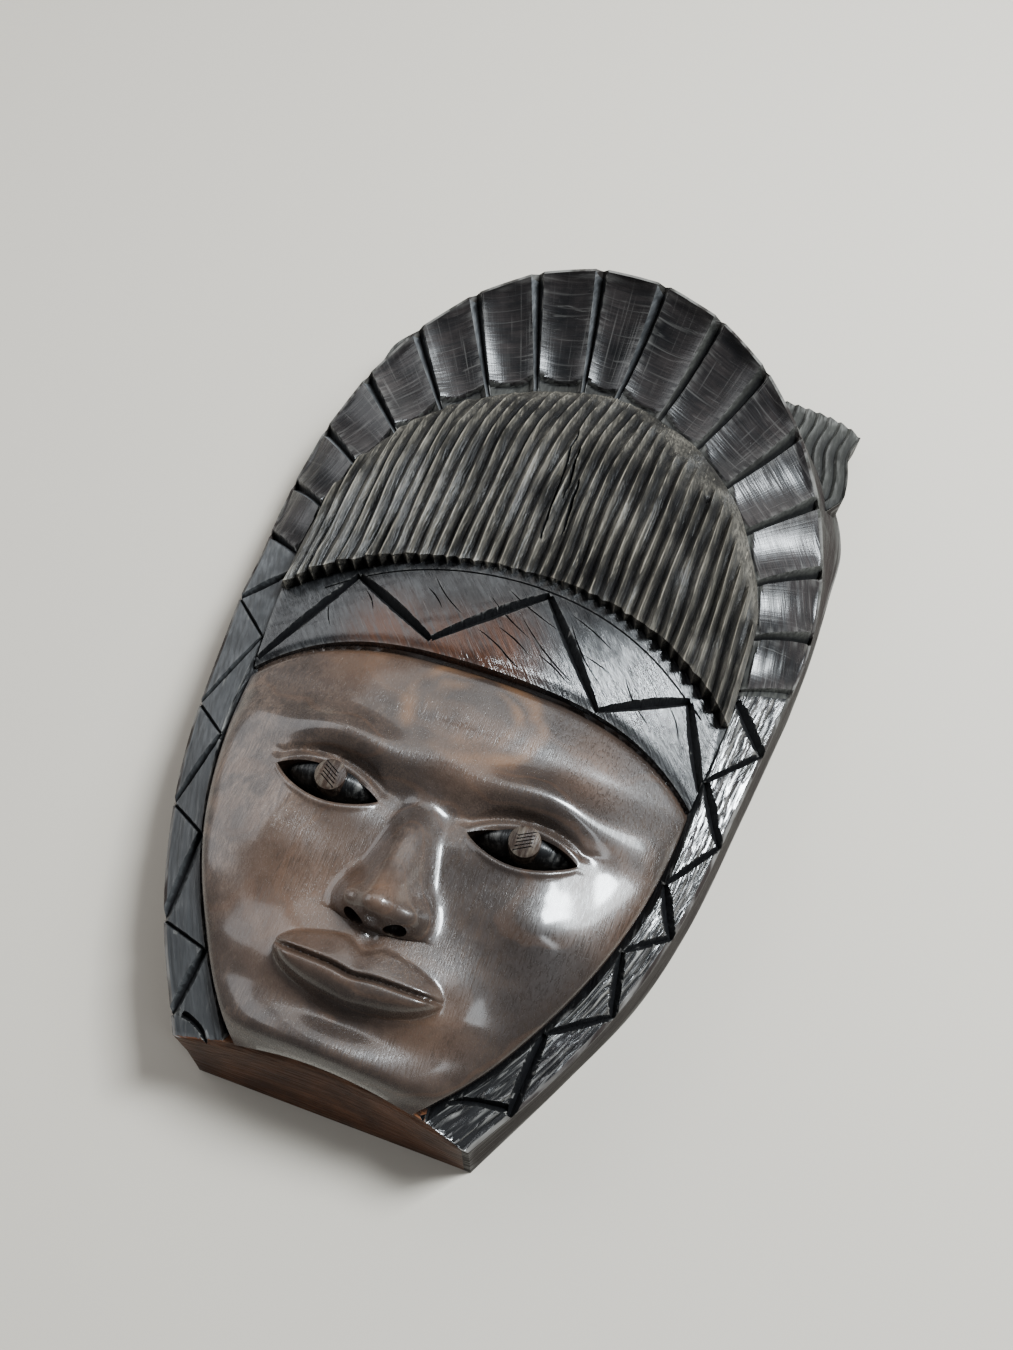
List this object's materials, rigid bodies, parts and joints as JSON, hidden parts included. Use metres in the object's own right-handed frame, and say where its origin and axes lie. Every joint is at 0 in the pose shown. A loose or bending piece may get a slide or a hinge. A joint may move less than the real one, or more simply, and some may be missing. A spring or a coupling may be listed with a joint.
{
  "type": "wall mask",
  "caption": "Carved dark wood wall mask of a calm face under a headband, a ribbed cap and a fan-shaped crown, hollow at the back.",
  "frame": {"origin": "middle of the mask's length and width, on the plane of its back", "axes": "+Z out of the face, +Y from the chin toward the crown, +X to the right of someone who looks at the face; the mask lies on its back"},
  "size_m": [0.219, 0.3212, 0.0669],
  "materials": {
    "dark_wood": "polished face, rough tool-marked bands and crown"
  },
  "bodies": {
    "root": {"mask": "dark_wood"}
  },
  "joints": []
}
